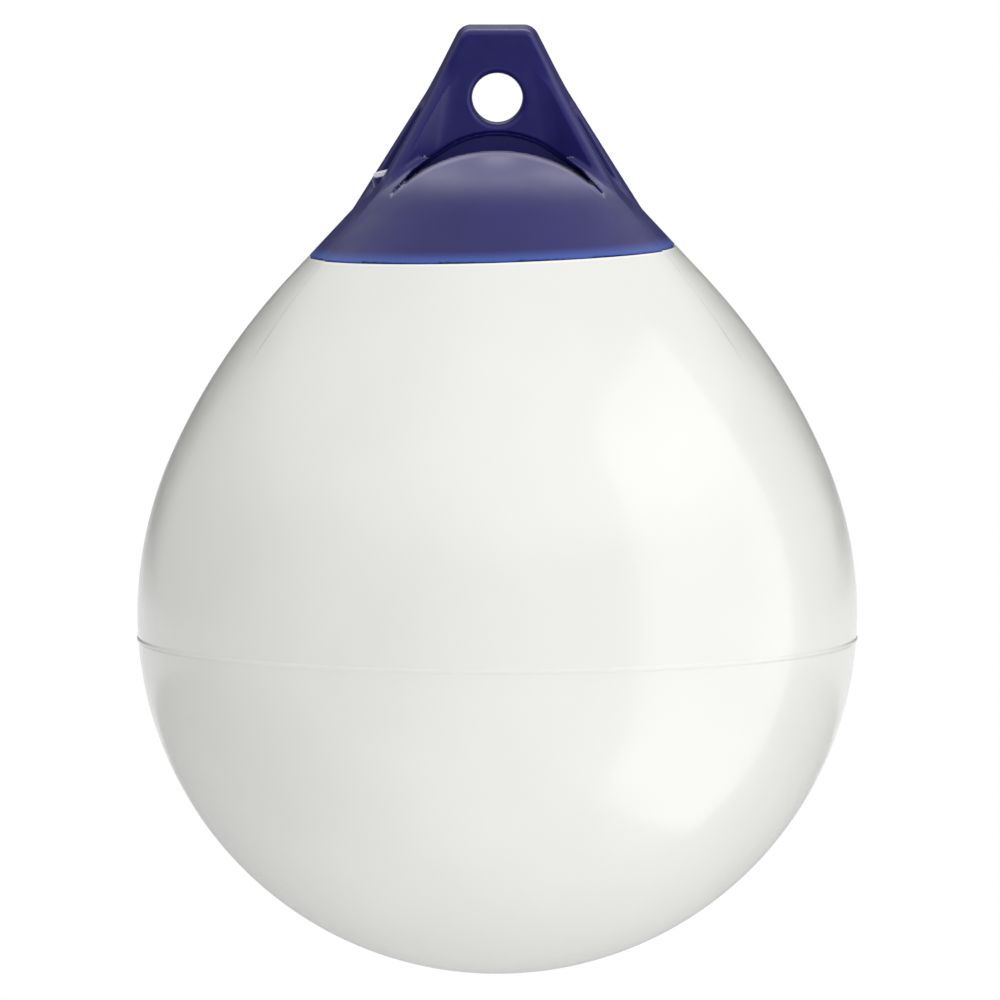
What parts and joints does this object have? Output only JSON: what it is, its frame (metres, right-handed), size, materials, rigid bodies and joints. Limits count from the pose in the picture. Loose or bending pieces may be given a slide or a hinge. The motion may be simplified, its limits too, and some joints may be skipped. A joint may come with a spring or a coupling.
{
  "type": "mooring buoy",
  "caption": "Hollow white vinyl ball buoy with a teardrop shoulder and a navy four-legged lug with a rope eye and an inflation valve.",
  "frame": {"origin": "centre of the rope eye, halfway through the lug", "axes": "+Z out of the top of the lug along the buoy's length, +Y along the axis of the rope eye, and the inflation valve is on the -X side"},
  "size_m": [0.4316, 0.4316, 0.567],
  "materials": {
    "white_vinyl": "glossy warm white moulded vinyl, smooth, with a faint mould seam",
    "navy_vinyl": "satin-gloss navy moulded vinyl, brighter blue along the joint with the white",
    "valve_bush_plastic": "dull grey moulded plastic",
    "valve_rubber": "black rubber",
    "valve_screw_plastic": "pale translucent-looking moulded plastic"
  },
  "bodies": {
    "root": {"float_shell": "white_vinyl", "rope_head": "navy_vinyl", "valve_insert": "valve_bush_plastic", "valve_seal": "valve_rubber", "valve_screw": "valve_screw_plastic"}
  },
  "joints": []
}
